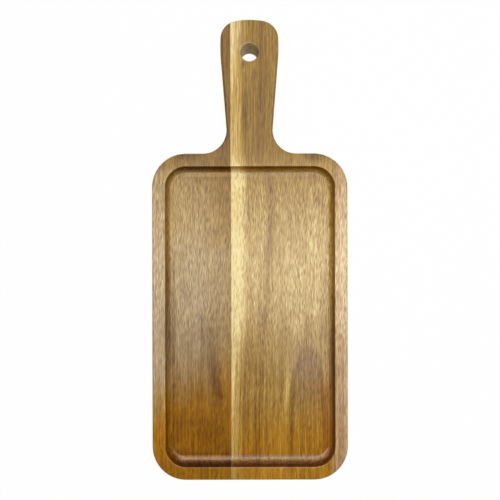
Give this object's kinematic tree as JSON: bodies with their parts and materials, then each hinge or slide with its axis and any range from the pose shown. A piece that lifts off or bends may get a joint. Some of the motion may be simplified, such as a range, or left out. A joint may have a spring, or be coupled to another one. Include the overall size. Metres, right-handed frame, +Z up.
{
  "type": "paddle serving board",
  "caption": "Flat wooden serving paddle: a rounded rectangular blade with a low rim round a shallow well, and a flared handle with a hanging hole.",
  "frame": {"origin": "on the underside, under the middle of the board's overall length and width", "axes": "+Z up out of the well, +Y along the board from the foot of the blade to the handle's end, +X to the right when the handle points away"},
  "size_m": [0.1616, 0.38, 0.018],
  "materials": {
    "darker_wood": "oiled, satin",
    "paler_wood": "oiled, satin",
    "glue": "matte"
  },
  "bodies": {
    "root": {"left_stave": "darker_wood", "right_stave": "paler_wood", "glue_line": "glue"}
  },
  "joints": []
}
